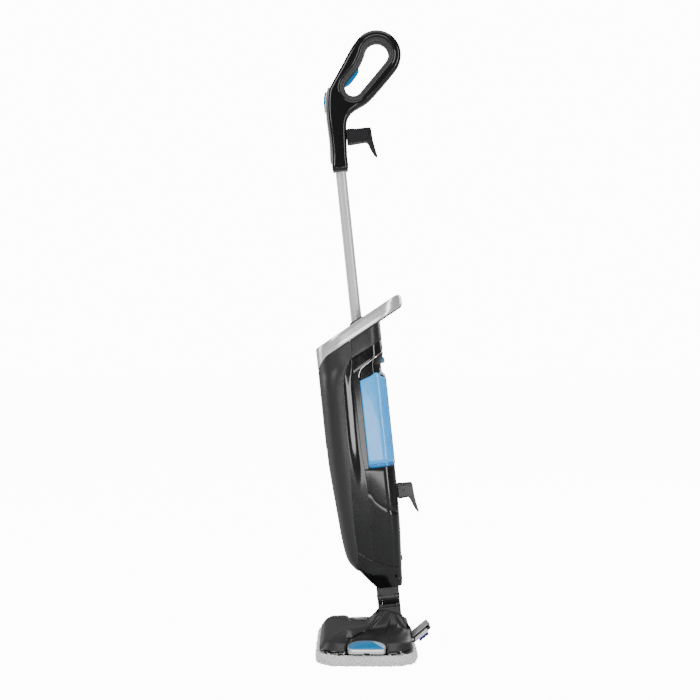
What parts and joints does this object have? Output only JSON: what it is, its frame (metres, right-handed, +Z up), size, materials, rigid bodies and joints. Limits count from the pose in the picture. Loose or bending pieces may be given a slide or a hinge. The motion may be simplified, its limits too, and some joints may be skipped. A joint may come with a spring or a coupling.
{
  "type": "steam mop",
  "caption": "Upright steam mop with a jointed foot on a washable pad, a lift-out water tank, a tubular pole and a loop handle with trigger and cord hooks.",
  "frame": {"origin": "centre of the mop pad's underside, on the floor", "axes": "+Z up, +X across the foot to the user's right as they face -Y, -Y is the front, the way the mop is pushed"},
  "size_m": [0.296, 0.2098, 1.1341],
  "materials": {
    "satin_black": "satin charcoal moulding",
    "gloss_black": "glossy black moulding",
    "soft_grey": "soft-touch dark grey",
    "silver": "satin silver coating",
    "pole_metal": "satin anodised tube",
    "steel": "bright steel",
    "brass": "sintered bush",
    "tank_blue": "clear blue tinted moulding",
    "signal_blue": "bright blue moulding",
    "light_blue": "pale blue moulding",
    "pad_white": "white microfibre pile",
    "white_plastic": "white moulding",
    "bristle_blue": "indigo nylon tufts",
    "rubber_black": "black rubber",
    "hose": "silicone hose",
    "board_green": "circuit board"
  },
  "bodies": {
    "base": {"foot_cover": "satin_black", "base_rim": "gloss_black", "foot_base": "gloss_black", "steam_diffuser": "soft_grey", "pad_tray": "white_plastic", "mop_pad": "pad_white", "axle_bushes": "brass", "foot_pins": "steel", "tab_springs": "steel"},
    "left_tab": {"tab_frame_left": "silver", "tab_cap_left": "light_blue"},
    "right_tab": {"tab_frame_right": "silver", "tab_cap_right": "light_blue"},
    "scrubber": {"scrubber_frame": "gloss_black", "scrubber_top": "silver", "scrubber_block": "white_plastic", "scrubber_bristles": "bristle_blue"},
    "joint_yoke": {"yoke": "gloss_black", "recline_axle": "steel", "roll_pin": "steel"},
    "stick": {"neck": "gloss_black", "boot": "gloss_black", "front_shell": "satin_black", "front_trim": "satin_black", "chassis": "gloss_black", "back_collar": "satin_black", "tank_hood": "gloss_black", "column_cover": "gloss_black", "rear_cover": "gloss_black", "carry_band": "silver", "band_grip": "rubber_black", "top_deck": "satin_black", "pole": "pole_metal", "boiler": "steel", "pump": "soft_grey", "control_board": "board_green", "water_hose": "hose", "steam_hose": "hose", "tank_port": "rubber_black", "case_screws": "steel", "cord_gland": "rubber_black", "lower_hook": "gloss_black", "handle_left": "gloss_black", "handle_right": "gloss_black", "grip_liner": "soft_grey", "handle_strip": "silver", "trigger_pin": "steel", "trigger_spring": "steel", "trigger_switch": "soft_grey", "hook_spindle": "steel", "handle_screws": "steel"},
    "tank": {"tank": "tank_blue", "tank_head": "gloss_black", "tank_trim": "silver", "tank_outlet": "gloss_black"},
    "tank_latch": {"tank_latch": "signal_blue"},
    "filler_cap": {"filler_cap": "signal_blue"},
    "steam_button": {"steam_button": "signal_blue"},
    "trigger": {"trigger": "signal_blue"},
    "upper_hook": {"upper_hook": "gloss_black"}
  },
  "joints": [
    {"name": "recline", "type": "hinge", "parent": "base", "child": "joint_yoke", "pos_m": [0, 0.04318, 0.04622], "axis": [1, 0, 0], "range_deg": [-60, 0]},
    {"name": "roll", "type": "hinge", "parent": "joint_yoke", "child": "stick", "pos_m": [0, 0.03775, 0.09793], "axis": [0, 0.9945, 0.1045], "range_deg": [-50, 50]},
    {"name": "left_tab_press", "type": "hinge", "parent": "base", "child": "left_tab", "pos_m": [-0.115, -0.002, 0.028], "axis": [0, -1, 0], "range_deg": [0, 5], "stiffness_Nm_per_rad": 1.2, "springref_deg": -3.44},
    {"name": "right_tab_press", "type": "hinge", "parent": "base", "child": "right_tab", "pos_m": [0.115, -0.002, 0.028], "axis": [0, 1, 0], "range_deg": [0, 5], "stiffness_Nm_per_rad": 1.2, "springref_deg": -3.44},
    {"name": "scrubber_fold", "type": "hinge", "parent": "base", "child": "scrubber", "pos_m": [0, 0.083, 0.024], "axis": [1, 0, 0], "range_deg": [-42, 0]},
    {"name": "tank_lift", "type": "slide", "parent": "stick", "child": "tank", "axis": [0, 0.9945, 0.1045], "range_m": [0, 0.11]},
    {"name": "latch_press", "type": "slide", "parent": "tank", "child": "tank_latch", "axis": [0, -0.9945, -0.1045], "range_m": [0, 0.003], "stiffness_N_per_m": 400, "springref_m": -0.002},
    {"name": "filler_turn", "type": "hinge", "parent": "tank", "child": "filler_cap", "pos_m": [0, -0.0148, 0.45439], "axis": [0, 0.9945, 0.1045], "range_deg": [0, 90]},
    {"name": "steam_press", "type": "slide", "parent": "stick", "child": "steam_button", "axis": [0, 0.9945, 0.1045], "range_m": [0, 0.002], "stiffness_N_per_m": 400, "springref_m": -0.002},
    {"name": "trigger_squeeze", "type": "hinge", "parent": "stick", "child": "trigger", "pos_m": [0, -0.04117, 1.03532], "axis": [1, 0, 0], "range_deg": [0, 8], "stiffness_Nm_per_rad": 0.4, "springref_deg": -5.73},
    {"name": "hook_swivel", "type": "hinge", "parent": "stick", "child": "upper_hook", "pos_m": [0, -0.03059, 0.9394], "axis": [0, 0.9945, 0.1045], "range_deg": [0, 180]}
  ]
}
